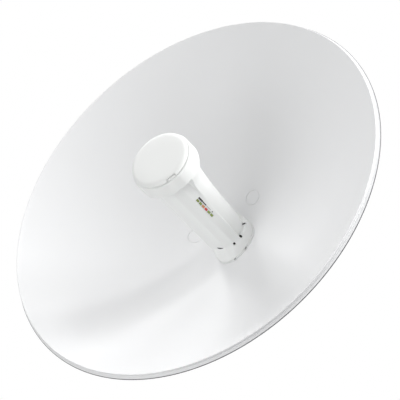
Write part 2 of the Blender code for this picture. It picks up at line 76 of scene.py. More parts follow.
# %% Measures in metres
LIP_Y = -0.132
DISH_RADIUS = 0.210
DISH_INNER = 0.2065
DISH_DEPTH = 0.082
SHEET = 0.0015
HUB_HOLE = 0.0215
CAP_FRONT = -0.0673
CAP_HEIGHT = 0.0042
CAP_RADIUS = 0.0318
COLLAR_START = -0.0623
COLLAR_END = -0.0461
COLLAR_RADIUS = 0.0335
TUBE_RADIUS = 0.0222
WAIST_RADIUS = 0.0176
BASE_START = 0.0670
BASE_END = 0.0786
BASE_TOP_RADIUS = 0.0212
SPIGOT_RADIUS = 0.0190
SPIGOT_END = 0.1000
RING_WIDER = 0.0008
BOSS_CIRCLE = 0.050
BOSS_RADIUS = 0.0095
SCREW_DEPTH = 0.0032
GAP = 0.0003
FEED_TURN = 13.7
FLAT_CORNERS = [(-94.0, 0.0262), (-38.0, 0.0226), (-10.2, 0.0226), (15.6, 0.0224)]
SPINE_CORNERS = [(-165.0, 0.0150), (-130.0, 0.0205), (-112.0, 0.0240), (-94.0, 0.0262)]
FOOT_CORNERS = [(-150.0, 0.0222), (-120.0, 0.0222), (-94.0, 0.0244), (-65.0, 0.0284)]
FOOT_CORNERS += [(-50.0, 0.0304), (-29.0, 0.0282), (-11.0, 0.0253), (1.0, 0.0238)]
FOOT_CORNERS += [(16.0, 0.0228), (40.0, 0.0222)]
FLAT_TAPER = 0.92


def dish_front(radius):
    """The height of the bowl's painted face at a distance from its axis."""
    return LIP_Y + DISH_DEPTH * (1.0 - (radius / DISH_INNER) ** 2)


def around(turn, radius):
    """A point at a turn from straight down, towards +X."""
    angle = math.radians(turn)
    return Vector((radius * math.sin(angle), 0.0, -radius * math.cos(angle)))


print("focal length of the bowl in mm:", round(1000 * DISH_INNER**2 / (4 * DISH_DEPTH)))

# %% [markdown]
# ## The camera
# The photograph looks up into the bowl from below and from the right with a long lens, so
# the far rim is hardly smaller than the near one. A long lens far away keeps that. The
# camera is placed by an azimuth, an elevation and a roll about the line of sight.

# %% Place the camera
VIEW_AZIMUTH = math.radians(14.84)
VIEW_ELEVATION = math.radians(-45.62)
VIEW_ROLL = math.radians(-23.26)
VIEW_DISTANCE = 4.546
VIEW_TARGET = Vector((0.0044, LIP_Y, -0.0114))
FOCAL_PIXELS = 4577.7
IMAGE_PIXELS = 400.0
SENSOR = 36.0

back = Vector(
    (
        math.sin(VIEW_AZIMUTH) * math.cos(VIEW_ELEVATION),
        -math.cos(VIEW_AZIMUTH) * math.cos(VIEW_ELEVATION),
        math.sin(VIEW_ELEVATION),
    )
)
level = Vector((math.cos(VIEW_AZIMUTH), math.sin(VIEW_AZIMUTH), 0.0))
upright = back.cross(level)
right = math.cos(VIEW_ROLL) * level + math.sin(VIEW_ROLL) * upright
up = math.cos(VIEW_ROLL) * upright - math.sin(VIEW_ROLL) * level
camera_data = bpy.data.cameras.new("view")
camera_data.sensor_width = SENSOR
camera_data.lens = SENSOR * FOCAL_PIXELS / IMAGE_PIXELS
camera_data.clip_end = 100.0
camera = bpy.data.objects.new("view", camera_data)
bpy.context.scene.collection.objects.link(camera)
turned = Matrix((right, up, back)).transposed().to_4x4()
camera.matrix_world = Matrix.Translation(VIEW_TARGET + VIEW_DISTANCE * back) @ turned
bpy.context.scene.camera = camera
print("lens in mm:", round(camera_data.lens), "distance in m:", VIEW_DISTANCE)

# %% [markdown]
# ## Shared effects
# Every surface here varies a little. Powder coat flows out into a fine orange peel, a
# moulded housing carries the grain of its mould, and plated steel has a soft cloudy tone.
# Each effect is one node group with named inputs, built once and placed in each finish
# with its own scale. The groups put out only heights and masks, and the shader stays in
# the finish itself. A last group marks places by their reach from the boresight, where
# shade is painted into the colour: a near-black line along the dish's outermost edge that
# paints the dark reflection of its glossy rim, and painted shade deep inside the latch
# slots of the tube.

# %% Build the shared node groups
def new_group(name, inputs, outputs):
    """A shader group with float inputs and outputs, and its input and output nodes."""
    group = bpy.data.node_groups.new(name, "ShaderNodeTree")
    for label, value in inputs:
        socket = group.interface.new_socket(label, in_out="INPUT", socket_type="NodeSocketFloat")
        socket.default_value = value
    for label in outputs:
        group.interface.new_socket(label, in_out="OUTPUT", socket_type="NodeSocketFloat")
    return group, group.nodes.new("NodeGroupInput"), group.nodes.new("NodeGroupOutput")


def feed_socket(tree, socket, value):
    """Give a socket a number or a colour, or link it to another socket."""
    if isinstance(value, (int, float, tuple)):
        socket.default_value = value
    else:
        tree.links.new(value, socket)


def object_place(tree):
    """The shaded point in the coordinates of its piece."""
    return tree.nodes.new("ShaderNodeTexCoord").outputs["Object"]


def axes_of(tree, vector):
    """The X, Y and Z parts of a vector."""
    made = tree.nodes.new("ShaderNodeSeparateXYZ")
    tree.links.new(vector, made.inputs["Vector"])
    return made.outputs


def noise(tree, coordinates, scale, detail, roughness):
    """A noise texture on object coordinates. The scale is a number or a socket."""
    made = tree.nodes.new("ShaderNodeTexNoise")
    made.inputs["Detail"].default_value = detail
    made.inputs["Roughness"].default_value = roughness
    feed_socket(tree, made.inputs["Scale"], scale)
    tree.links.new(coordinates, made.inputs["Vector"])
    return made.outputs["Fac"]


def remap(tree, value, low, high, new_low, new_high):
    """Spread a value from one span to another, and keep it inside the new one."""
    made = tree.nodes.new("ShaderNodeMapRange")
    labels = ("From Min", "From Max", "To Min", "To Max")
    for label, number in zip(labels, (low, high, new_low, new_high)):
        made.inputs[label].default_value = number
    tree.links.new(value, made.inputs["Value"])
    return made.outputs["Result"]


def maths(tree, operation, first, second):
    """Join two values, each a socket or a number."""
    made = tree.nodes.new("ShaderNodeMath")
    made.operation = operation
    for socket, value in zip(made.inputs, (first, second)):
        feed_socket(tree, socket, value)
    return made.outputs["Value"]


def build_grain_group():
    """Fine relief: a grain and a wider flow, and a slow cloud for tone and gloss."""
    inputs = (("Grain Scale", 2200.0), ("Flow Scale", 320.0), ("Cloud Scale", 9.0))
    group, given, result = new_group("surface_grain", inputs, ("Height", "Cloud"))
    place = object_place(group)
    grain = noise(group, place, given.outputs["Grain Scale"], 3.0, 0.6)
    flow = noise(group, place, given.outputs["Flow Scale"], 1.0, 0.4)
    cloud = noise(group, place, given.outputs["Cloud Scale"], 4.0, 0.55)
    height = maths(group, "ADD", maths(group, "MULTIPLY", grain, 0.35), flow)
    group.links.new(height, result.inputs["Height"])
    group.links.new(remap(group, cloud, 0.35, 0.65, 0.0, 1.0), result.inputs["Cloud"])
    return group


def build_wear_group():
    """Handling marks: sparse fine scuffs, and dust that settles on faces turned upwards."""
    inputs = (("Scuff Scale", 70.0), ("Dust Amount", 0.1))
    group, given, result = new_group("handling_marks", inputs, ("Scuffs", "Dust"))
    place = object_place(group)
    stretch = group.nodes.new("ShaderNodeMapping")
    stretch.inputs["Scale"].default_value = (1.0, 9.0, 2.5)
    stretch.inputs["Rotation"].default_value = (0.4, 0.3, 0.9)
    group.links.new(place, stretch.inputs["Vector"])
    marks = noise(group, stretch.outputs["Vector"], given.outputs["Scuff Scale"], 6.0, 0.7)
    group.links.new(remap(group, marks, 0.62, 0.72, 0.0, 1.0), result.inputs["Scuffs"])
    facing = axes_of(group, group.nodes.new("ShaderNodeNewGeometry").outputs["Normal"])
    upward = remap(group, facing["Z"], 0.3, 1.0, 0.0, 1.0)
    patches = remap(group, noise(group, place, 60.0, 5.0, 0.6), 0.4, 0.7, 0.2, 1.0)
    settled = maths(group, "MULTIPLY", upward, patches)
    dust = maths(group, "MULTIPLY", settled, given.outputs["Dust Amount"])
    group.links.new(dust, result.inputs["Dust"])
    return group


def build_reach_group():
    """Masks of places by their distance from the boresight, and by their place along it."""
    inputs = (("Start", 0.2094), ("End", 0.2097), ("From", -9.0), ("To", 9.0))
    group, given, result = new_group("reach_mask", inputs, ("Mask",))
    place = axes_of(group, object_place(group))
    across = maths(group, "MULTIPLY", place["X"], place["X"])
    height = maths(group, "MULTIPLY", place["Z"], place["Z"])
    reach = maths(group, "SQRT", maths(group, "ADD", across, height), 0.0)
    span = maths(group, "SUBTRACT", given.outputs["End"], given.outputs["Start"])
    over = maths(group, "SUBTRACT", reach, given.outputs["Start"])
    mask = remap(group, maths(group, "DIVIDE", over, span), 0.0, 1.0, 0.0, 1.0)
    behind = maths(group, "GREATER_THAN", place["Y"], given.outputs["From"])
    before = maths(group, "LESS_THAN", place["Y"], given.outputs["To"])
    inside = maths(group, "MULTIPLY", behind, before)
    group.links.new(maths(group, "MULTIPLY", mask, inside), result.inputs["Mask"])
    return group


GRAIN = build_grain_group()
WEAR = build_wear_group()
REACH = build_reach_group()
print("shared groups:", GRAIN.name, WEAR.name, REACH.name)

# %% [markdown]
# ## Finishes
# One recipe makes every finish: a colour that drifts between two close tones with the
# cloud, scuffs that change the gloss, dust that lightens upward faces, and the grain as a
# bump. Only its numbers differ, so a reader can compare a coat of paint, a moulded
# plastic and a plated steel side by side.

# %% The recipe for a finish
DUST_COLOUR = (0.55, 0.54, 0.51, 1.0)
COAT_ROUGHNESS = 0.12
SCUFF_ROUGHNESS = 0.06


def mix_colour(tree, share, first, second):
    """Blend two colours, each a socket or a fixed colour, by a share."""
    made = tree.nodes.new("ShaderNodeMix")
    made.data_type = "RGBA"
    tree.links.new(share, made.inputs["Factor"])
    for socket, value in ((made.inputs[6], first), (made.inputs[7], second)):
        feed_socket(tree, socket, value)
    return made.outputs[2]


def use_group(tree, group, values):
    """Place a shared group in a finish, set its inputs in their order, and give its outputs."""
    made = tree.nodes.new("ShaderNodeGroup")
    made.node_tree = group
    for socket, value in zip(made.inputs, values):
        socket.default_value = value
    return made.outputs


def make_finish(name, tone, drift, gloss, grain, bump, wear, metallic=0.0, coat=0.0, patch=None):
    """A finish from a tone, how far it drifts, and the four parts of a texture."""
    finish = bpy.data.materials.new(name)
    finish.use_nodes = True
    tree = finish.node_tree
    shader = tree.nodes["Principled BSDF"]
    shader.inputs["Metallic"].default_value = metallic
    shader.inputs["Coat Weight"].default_value = coat
    shader.inputs["Coat Roughness"].default_value = COAT_ROUGHNESS
    relief = use_group(tree, GRAIN, grain)
    marks = use_group(tree, WEAR, wear)
    other = tuple(max(0.0, min(1.0, channel + drift)) for channel in tone)
    colour = mix_colour(tree, relief["Cloud"], (*tone, 1.0), (*other, 1.0))
    colour = mix_colour(tree, marks["Dust"], colour, DUST_COLOUR)
    # A patch paints shade into the colour inside its mask.
    if patch:
        shade, *limits = patch
        colour = mix_colour(tree, use_group(tree, REACH, limits)["Mask"], colour, shade)
    tree.links.new(colour, shader.inputs["Base Color"])
    rough = remap(tree, relief["Cloud"], 0.0, 1.0, *gloss)
    scuffed = maths(tree, "MULTIPLY", marks["Scuffs"], SCUFF_ROUGHNESS)
    rough = maths(tree, "ADD", rough, scuffed)
    tree.links.new(rough, shader.inputs["Roughness"])
    relief_bump = tree.nodes.new("ShaderNodeBump")
    relief_bump.inputs["Strength"].default_value = bump[0]
    relief_bump.inputs["Distance"].default_value = bump[1]
    tree.links.new(relief["Height"], relief_bump.inputs["Height"])
    tree.links.new(relief_bump.outputs["Normal"], shader.inputs["Normal"])
    return finish


# %% Mix the finishes
# Each texture is a span of roughness, the scales of grain, flow and cloud, the bump's
# strength and distance, and the scale of the scuffs with an amount of dust.
COAT = ((0.36, 0.42), (900.0, 260.0, 6.0), (0.07, 0.0002), (45.0, 0.06))
MOULD = ((0.38, 0.44), (2600.0, 900.0, 25.0), (0.10, 0.0001), (90.0, 0.05))
PLATING = ((0.30, 0.46), (1600.0, 240.0, 45.0), (0.15, 0.0002), (120.0, 0.12))
STEEL = ((0.26, 0.40), (2400.0, 500.0, 150.0), (0.20, 0.0002), (260.0, 0.10))
RUBBER = ((0.62, 0.78), (3000.0, 700.0, 90.0), (0.30, 0.0002), (160.0, 0.2))
INK = ((0.40, 0.55), (3000.0, 1400.0, 400.0), (0.10, 0.00005), (300.0, 0.0))
LENS = ((0.16, 0.24), (4000.0, 1500.0, 500.0), (0.06, 0.00005), (300.0, 0.0))
# A patch is a colour and the limits of its mask: a start and an end in reach from the
# boresight, and a start and an end along it. Both patches are painted shade: a near-black
# fill deep inside the tube's latch slots, and a near-black line at the bowl's outermost edge
# that paints the dark reflection of its glossy rim.
SLOT_SPAN = (LIP_Y + BASE_START + 0.0010, LIP_Y + BASE_END - 0.0002)
SLOT_PAINTED_SHADE = ((0.015, 0.015, 0.017, 1.0), 0.0203, 0.0200, *SLOT_SPAN)
RIM_PAINTED_REFLECTION = ((0.12, 0.12, 0.13, 1.0), 0.2094, 0.2097)
WHITE = (0.80, 0.81, 0.80)
# The powder coat paints a dark reflection as a near-black line along the bowl's outermost edge.
POWDER_COAT = make_finish("powder_coat", (0.805, 0.810, 0.816), 0.012, *COAT, patch=RIM_PAINTED_REFLECTION)
MOULDED_WHITE = make_finish("moulded_white", WHITE, 0.012, *MOULD)
# This white paints shade deep inside the latch slots of the feed tube.
WHITE_WITH_PAINTED_SLOT_SHADE = make_finish("white_with_painted_slot_shade", WHITE, 0.012, *MOULD, patch=SLOT_PAINTED_SHADE)
ZINC_PLATE = make_finish("zinc_plate", (0.60, 0.62, 0.64), 0.10, *PLATING, metallic=1.0)
BOLT_STEEL = make_finish("bolt_steel", (0.52, 0.53, 0.54), 0.12, *STEEL, metallic=1.0)
CABLE_RUBBER = make_finish("cable_rubber", (0.025, 0.025, 0.027), 0.012, *RUBBER)
PRINT_INK = make_finish("print_ink", (0.018, 0.018, 0.020), 0.02, *INK)
PALE_INK = make_finish("pale_ink", (0.46, 0.46, 0.48), 0.05, *INK)
LENS_TONES = {
    "olive_lens": (0.22, 0.27, 0.06),
    "green_lens": (0.26, 0.34, 0.09),
    "orange_lens": (0.62, 0.26, 0.10),
    "red_lens": (0.62, 0.05, 0.04),
}
LENSES = {name: make_finish(name, tone, 0.04, *LENS, coat=0.5) for name, tone in LENS_TONES.items()}

# %% [markdown]
# ## Tools for the pieces
# Most pieces are turned, as on a lathe: a profile is spun about the boresight. Pockets and
# slots are then cut with a Boolean, whose result is read back into a bmesh so that one
# clean mesh is left. Every piece ends in the same step, which turns its faces outwards,
# smooths all but its sharp edges and hides the solid it stands for.

# %% Spin, join and cut
WELD = 0.000002


def spin_profile(profile, segments, closed=False, upright=False):
    """Turn a profile of (radius, place) points about the boresight, or about Z."""
    mesh = bmesh.new()
    ends = [(radius, 0.0, place) if upright else (radius, place, 0.0) for radius, place in profile]
    points = [mesh.verts.new(end) for end in ends]
    edges = [mesh.edges.new(pair) for pair in zip(points, points[1:])]
    if closed:
        edges.append(mesh.edges.new((points[-1], points[0])))
    bmesh.ops.spin(
        mesh,
        geom=points + edges,
        axis=(0.0, 0.0, 1.0) if upright else (0.0, 1.0, 0.0),
        cent=(0.0, 0.0, 0.0),
        steps=segments,
        angle=math.tau,
        use_merge=True,
    )
    bmesh.ops.remove_doubles(mesh, verts=mesh.verts, dist=WELD)
    mesh.normal_update()
    bmesh.ops.recalc_face_normals(mesh, faces=mesh.faces)
    return mesh


def as_object(name, mesh):
    """Put a bmesh into the scene as an object and free it."""
    data = bpy.data.meshes.new(name)
    mesh.to_mesh(data)
    mesh.free()
    made = bpy.data.objects.new(name, data)
    bpy.context.scene.collection.objects.link(made)
    return made


def join(meshes):
    """One bmesh from several."""
    whole = bmesh.new()
    for mesh in meshes:
        data = bpy.data.meshes.new("joined")
        mesh.to_mesh(data)
        mesh.free()
        whole.from_mesh(data)
        bpy.data.meshes.remove(data)
    return whole


def boolean(mesh, tool, operation="DIFFERENCE"):
    """Cut a tool from a bmesh, or join the two, and give back the new bmesh."""
    for part in (mesh, tool):
        part.normal_update()
        bmesh.ops.recalc_face_normals(part, faces=part.faces)
    body = as_object("boolean_body", mesh)
    cutter = as_object("boolean_tool", tool)
    change = body.modifiers.new("change", "BOOLEAN")
    change.operation = operation
    change.solver = "EXACT"
    change.object = cutter
    bpy.context.view_layer.update()
    shaped = body.evaluated_get(bpy.context.evaluated_depsgraph_get()).to_mesh()
    result = bmesh.new()
    result.from_mesh(shaped)
    for item in (body, cutter):
        data = item.data
        bpy.data.objects.remove(item)
        bpy.data.meshes.remove(data)
    bmesh.ops.remove_doubles(result, verts=result.verts, dist=WELD)
    bmesh.ops.dissolve_degenerate(result, edges=result.edges, dist=WELD)
    return result


def shift(mesh, way):
    """Move all of a bmesh, and give it back."""
    bmesh.ops.translate(mesh, verts=mesh.verts, vec=way)
    return mesh


def hull(points):
    """The smallest body without hollows around some points."""
    mesh = bmesh.new()
    for point in points:
        mesh.verts.new(point)
    bmesh.ops.convex_hull(mesh, input=mesh.verts)
    inside = [corner for corner in mesh.verts if not corner.link_faces]
    bmesh.ops.delete(mesh, geom=inside, context="VERTS")
    return mesh


print("points this close are one, in mm:", 1000 * WELD)

# %% Round and place
made_pieces = []


def place_piece(name, mesh, finish, *stands_for, sharp=32.0):
    """Finish a piece: faces outwards, smooth but for sharp edges, riding on the object."""
    mesh.normal_update()
    bmesh.ops.recalc_face_normals(mesh, faces=mesh.faces)
    open_edges = sum(1 for edge in mesh.edges if not edge.is_manifold)
    piece = as_object(name, mesh)
    piece.data.polygons.foreach_set("use_smooth", [True] * len(piece.data.polygons))
    piece.data.set_sharp_from_angle(angle=math.radians(sharp))
    piece.data.materials.append(finish)
    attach(piece, "root")
    if stands_for:
        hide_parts(*stands_for)
    made_pieces.append(piece)
    print(f"{name}: {len(piece.data.polygons)} faces, {open_edges} open edges")


def rounded(mesh, width, angle=25.0):
    """Bevel every edge sharper than an angle."""
    mesh.normal_update()
    limit = math.radians(angle)
    closed = [edge for edge in mesh.edges if edge.is_manifold]
    bmesh.ops.bevel(
        mesh,
        geom=[edge for edge in closed if edge.calc_face_angle(0.0) > limit],
        offset=width,
        affect="EDGES",
        segments=2,
        profile=0.5,
        material=-1,
        clamp_overlap=True,
    )
    return mesh


print("pieces placed so far:", len(made_pieces))

# %% [markdown]
# ## The reflector
# The bowl is one pressed sheet. Its face is a paraboloid, and its edge is rolled over a
# groove into a narrow flange that stiffens it. A profile of the whole wall, front and
# back, is spun into a closed shell, so the sheet has its true thickness at every edge.
# Four round bosses behind the bowl take the screws of the bracket. The press leaves two
# fine rings in the upper half of the bowl's face.

# %% Spin the bowl
BOWL_STEPS = 44
BOWL_SEGMENTS = 224
WITNESS_ACROSS = 0.0353
WITNESS_HEIGHT = 0.0305
WITNESS_RADIUS = 0.0080
WITNESS_HALF = 0.0003
WITNESS_DEPTH = 0.0006
WITNESS_OVER = 0.002
BOSS_CHAMFER = 0.0005
SCREW_HOLE = 0.0034
RIM = [
    (0.2068, -0.0003),
    (0.2073, -0.0004),
    (0.2077, -0.0002),
    (0.2079, 0.0003),
    (0.2079, 0.0008),
    (0.2077, 0.0012),
    (0.2065, 0.0034),
    (0.2063, 0.0039),
    (0.2064, 0.0044),
    (0.2069, 0.0047),
    (0.2094, 0.0048),
    (0.2098, 0.0050),
    (0.2100, 0.0053),
    (0.2100, 0.0057),
    (0.2098, 0.0060),
    (0.2094, 0.0061),
    (0.2076, 0.0063),
    (0.2071, 0.0069),
    (0.2064, 0.0070),
    (0.2059, 0.0066),
    (0.2058, 0.0022),
]


def bowl_profile():
    """The wall of the bowl from the hub's hole over the rim and back."""
    span = DISH_INNER - HUB_HOLE
    radii = [HUB_HOLE + span * step / BOWL_STEPS for step in range(BOWL_STEPS + 1)]
    front = [(radius, dish_front(radius)) for radius in radii]
    rim = [(radius, LIP_Y + y) for radius, y in RIM]
    rear = [(radius, dish_front(radius) + SHEET) for radius in reversed(radii[:-1])]
    return front + rim + rear


def boss_centres():
    """The middles of the four bosses, at the corners of the bracket's plate."""
    return [around(45.0 + 90.0 * step, BOSS_CIRCLE) for step in range(4)]


def circle_of(centre, radius, steps):
    """Points on a circle about a boss, as x and z."""
    turns = [math.tau * step / steps for step in range(steps)]
    return [(centre.x + radius * math.cos(t), centre.z + radius * math.sin(t)) for t in turns]


def boss_body(centre, steps=48):
    """A round boss from the back of the bowl to the plane of the bracket's plate."""
    face = LIP_Y + DISH_DEPTH + SHEET
    outer = circle_of(centre, BOSS_RADIUS, steps)
    inner = circle_of(centre, BOSS_RADIUS - BOSS_CHAMFER, steps)
    points = [(x, dish_front(math.hypot(x, z)) + SHEET / 2, z) for x, z in outer]
    points += [(x, face - BOSS_CHAMFER, z) for x, z in outer]
    return hull(points + [(x, face, z) for x, z in inner])


def witness_ring(centre, steps=72):
    """A thin ring that follows the bowl's face and cuts a groove of even depth."""
    mesh = bmesh.new()
    loops = []
    inner = circle_of(centre, WITNESS_RADIUS - WITNESS_HALF, steps)
    outer = circle_of(centre, WITNESS_RADIUS + WITNESS_HALF, steps)
    falls = (-WITNESS_OVER, -WITNESS_OVER, WITNESS_DEPTH, WITNESS_DEPTH)
    for near, far in zip(inner, outer):
        sides = zip((near, far, far, near), falls)
        corners = [(x, dish_front(math.hypot(x, z)) + fall, z) for (x, z), fall in sides]
        loops.append([mesh.verts.new(corner) for corner in corners])
    for here, there in zip(loops, loops[1:] + loops[:1]):
        for step in range(4):
            after = (step + 1) % 4
            mesh.faces.new([here[step], here[after], there[after], there[step]])
    return mesh


def screw_hole(centre, steps=24):
    """A round tool that leaves room for a screw in its boss."""
    low = LIP_Y + DISH_DEPTH - SCREW_DEPTH - GAP
    circle = circle_of(centre, SCREW_HOLE, steps)
    return hull([(x, y, z) for x, z in circle for y in (low, low + 0.010)])


bowl = spin_profile(bowl_profile(), BOWL_SEGMENTS, closed=True)
bowl = boolean(bowl, join([boss_body(centre) for centre in boss_centres()]), "UNION")
bowl = boolean(bowl, join([screw_hole(centre) for centre in boss_centres()]))
marks = [Vector((x, 0.0, WITNESS_HEIGHT)) for x in (-WITNESS_ACROSS, WITNESS_ACROSS)]
bowl = boolean(bowl, join([witness_ring(mark) for mark in marks]))
place_piece("reflector_shell", bowl, POWDER_COAT, "reflector")

# %% [markdown]
# ## The feed tube
# The radio sits in a moulded tube. Its back is round and grows out of a wide collar, and
# its near side is cut into three flats that taper towards the bowl. A spun body has the
# right rings, so it is spun first, and each vertex is then moved in or out to the section
# that belongs to its turn and its place along the tube. Averaging the section over a few
# degrees rounds the long edges as a mould does. At the bowl the tube draws in and stands
# in a flared foot, whose outline is wider on the near side.

# %% Sections of the tube
TUBE_SEGMENTS = 240
# Each pair is a step along the axis and a fall from the collar's full radius.
COLLAR_EDGE = [(0.0, 0.0020), (0.0002, 0.0012), (0.0008, 0.0005), (0.0018, 0.0001), (0.0030, 0.0)]
COLLAR_FALL = [(-0.0020, 0.0), (0.0010, 0.0001), (0.0028, 0.0007), (0.0048, 0.0017)]
COLLAR_FALL += [(0.0098, 0.0045), (0.0155, 0.0072), (0.0225, 0.0092)]
ROUND_BACK = [(COLLAR_START + step, COLLAR_RADIUS - fall) for step, fall in COLLAR_EDGE]
ROUND_BACK += [(COLLAR_END + step, COLLAR_RADIUS - fall) for step, fall in COLLAR_FALL]
ROUND_BACK += [
    (COLLAR_END + 0.0330, TUBE_RADIUS + 0.0008),
    (COLLAR_END + 0.0480, TUBE_RADIUS - 0.0006),
    (COLLAR_END + 0.0700, TUBE_RADIUS - 0.0020),
    (BASE_START - 0.0180, TUBE_RADIUS - 0.0030),
    (BASE_START - 0.0070, TUBE_RADIUS - 0.0037),
    (BASE_START - 0.0010, WAIST_RADIUS),
    (BASE_START + 0.0030, WAIST_RADIUS),
    (BASE_END - 0.0030, SPIGOT_RADIUS + 0.0006),
    (BASE_END, SPIGOT_RADIUS + 0.0006),
]


def round_back(y):
    """The radius of the tube's round back, smooth between its named places."""
    places = ROUND_BACK
    if y <= places[0][0]:
        return places[0][1]
    ends = [places[0], *places, places[-1]]
    for before, (low, first), (high, last), after in zip(ends, places, places[1:], ends[3:]):
        if y <= high:
            lead = (last - before[1]) / (high - before[0])
            tail = (after[1] - first) / (after[0] - low)
            span = high - low
            s = (y - low) / span
            value = (2 * s**3 - 3 * s**2 + 1) * first + (3 * s**2 - 2 * s**3) * last
            return value + (s**3 - 2 * s**2 + s) * span * lead + (s**3 - s**2) * span * tail
    return places[-1][1]


def corner_radius(turn, corners):
    """The distance from the axis to a chain of flats at a turn, or nothing beside it."""
    for (first, near), (last, far) in zip(corners, corners[1:]):
        if first <= turn <= last:
            a, b = around(first, near), around(last, far)
            way = around(turn, 1.0)
            run = b - a
            return (a.x * run.z - a.z * run.x) / (way.x * run.z - way.z * run.x)
    return None


def tube_radius(turn, y):
    """The tube's radius at one turn and one place along it."""
    body = round_back(y)
    share = max(0.0, min(1.0, (y - COLLAR_END) / (BASE_END - COLLAR_END)))
    taper = 1.0 + (FLAT_TAPER - 1.0) * share
    spine = corner_radius(turn, SPINE_CORNERS)
    flats = corner_radius(turn, FLAT_CORNERS)
    if y <= COLLAR_END:
        return COLLAR_RADIUS if y > COLLAR_START + 0.0030 else body
    if spine is not None:
        return max(body, spine * taper)
    return body if flats is None else flats * taper


def centred(turn):
    """A turn brought between -180 and 180 degrees."""
    return (turn + 180.0) % 360.0 - 180.0


def smooth_radius(turn, y, reach=1.8):
    """The tube's radius, averaged over a few degrees so that its edges are rounded."""
    turns = [centred(turn + reach * step / 2) for step in range(-2, 3)]
    return sum(tube_radius(t, y) for t in turns) / len(turns)


print("tube at the windows, mm:", round(1000 * smooth_radius(2.7, 0.0), 2))

# %% Spin the tube and move its rings
SCOOP_TURN = -8.0
SCOOP_HALF = 17.0
SCOOP_DEPTH = 0.0017
TINY = 0.00003
LIP_FALL = {COLLAR_END - 0.0008: 0.0, COLLAR_END - 0.0004: 0.0002, COLLAR_END - 0.0001: 0.0006}


def scoop(turn, y):
    """How far the finger scoop behind the cap's catch is pressed into the collar."""
    across = abs(turn - SCOOP_TURN) / SCOOP_HALF
    if across >= 1.0 or y > COLLAR_END + 0.0001:
        return 0.0
    along = 1.0 - 0.5 * (y - COLLAR_START) / (COLLAR_END - COLLAR_START)
    return SCOOP_DEPTH * along * (0.5 + 0.5 * math.cos(math.pi * across))


def tube_places():
    """Places of the rings along the tube, close together where the section changes."""
    fixed = [place for place, radius in ROUND_BACK[:6]]
    fixed += [COLLAR_END - 0.0008, COLLAR_END - 0.0004, COLLAR_END - 0.0001, COLLAR_END + 0.0001]
    fixed += [COLLAR_END + 0.0006 + 0.0030 * step for step in range(35)]
    fixed += [BASE_START - 0.0070 + 0.0010 * step for step in range(8)]
    fixed += [BASE_START + 0.0030, BASE_END - 0.0030]
    return sorted({round(place, 5) for place in fixed})


rings = [*tube_places(), BASE_END]
profile = [(0.0, LIP_Y + COLLAR_START)]
profile += [(COLLAR_RADIUS, LIP_Y + place) for place in rings]
profile += [(SPIGOT_RADIUS, LIP_Y + BASE_END), (SPIGOT_RADIUS, LIP_Y + SPIGOT_END - 0.001)]
profile += [(SPIGOT_RADIUS - 0.001, LIP_Y + SPIGOT_END), (0.0, LIP_Y + SPIGOT_END)]
tube = spin_profile(profile, TUBE_SEGMENTS)
for vertex in tube.verts:
    reach = math.hypot(vertex.co.x, vertex.co.z)
    if abs(reach - COLLAR_RADIUS) > 0.0005:
        continue
    turn = centred(math.degrees(math.atan2(vertex.co.x, -vertex.co.z)) - FEED_TURN)
    y = vertex.co.y - LIP_Y
    radius = smooth_radius(turn, y) - scoop(turn, y)
    if FLAT_CORNERS[0][0] < turn < FLAT_CORNERS[-1][0]:
        radius -= sum(fall for place, fall in LIP_FALL.items() if abs(place - y) < TINY)
    vertex.co.x *= radius / reach
    vertex.co.z *= radius / reach
print("rings on the tube:", len(rings))

# %% Flare the foot
FOOT_STEP = 4


def foot_radius(turn):
    """The foot's outline about the axis, straight between its named corners."""
    turn = centred(turn)
    for (first, near), (last, far) in zip(FOOT_CORNERS, FOOT_CORNERS[1:]):
        if first <= turn <= last:
            share = (turn - first) / (last - first)
            return near + (far - near) * share
    return FOOT_CORNERS[0][1]


def foot_outline(wider, reach=6.0):
    """Points of the outline, averaged over a few degrees so that its corners are soft."""
    outline = []
    for turn in range(-180, 180, FOOT_STEP):
        near = [foot_radius(turn + reach * step / 3) for step in range(-3, 4)]
        outline.append(around(FEED_TURN + turn, sum(near) / len(near) + wider))
    return outline


def foot_body():
    """A hull from the lower ends of the flats and a round rim to the outline on the bowl."""
    ends = [around(FEED_TURN + turn, radius * FLAT_TAPER) for turn, radius in FLAT_CORNERS[1:]]
    rim = [around(FEED_TURN + turn, BASE_TOP_RADIUS) for turn in range(26, 252, FOOT_STEP)]
    points = [Vector((place.x, LIP_Y + BASE_START, place.z)) for place in ends + rim]
    points += [Vector((place.x, LIP_Y + BASE_END, place.z)) for place in foot_outline(0.0)]
    return hull(points)


tube = boolean(tube, foot_body(), "UNION")
print("foot reaches, mm:", round(1000 * foot_radius(-50.0), 1))

# %% [markdown]
# ## Indicator windows and foot slots
# A row of six small windows shows the link's state. Each lies in its own shallow pocket in
# the flat beside the near side. Small slots at the top of the foot are where the mould's
# latches came through. All of them are cut with one tool made of blocks.

# %% Cut the pockets and place the tube
WINDOWS = 6
WINDOW_START = -0.0098
WINDOW_PITCH = 0.00545
WINDOW_LENGTH = 0.0042
WINDOW_WIDTH = 0.0022
WINDOW_ACROSS = -0.0018
WINDOW_DEPTH = 0.0009
WINDOW_PROUD = 0.0001
POCKET_DEPTH = 0.0012
POCKET_OUT = 0.030
SLOT_HALF = 0.0012
SLOT_DEPTH = 0.0022
FOOT_PLACES = [(18.0, 0.0212), (-10.2, 0.0208), (62.0, 0.0212), (150.0, 0.0212), (-150.0, 0.0212)]
LATCH_PLACES = [(4.0, 0.0232), (-28.0, 0.0288), (120.0, 0.0220), (-150.0, 0.0220)]


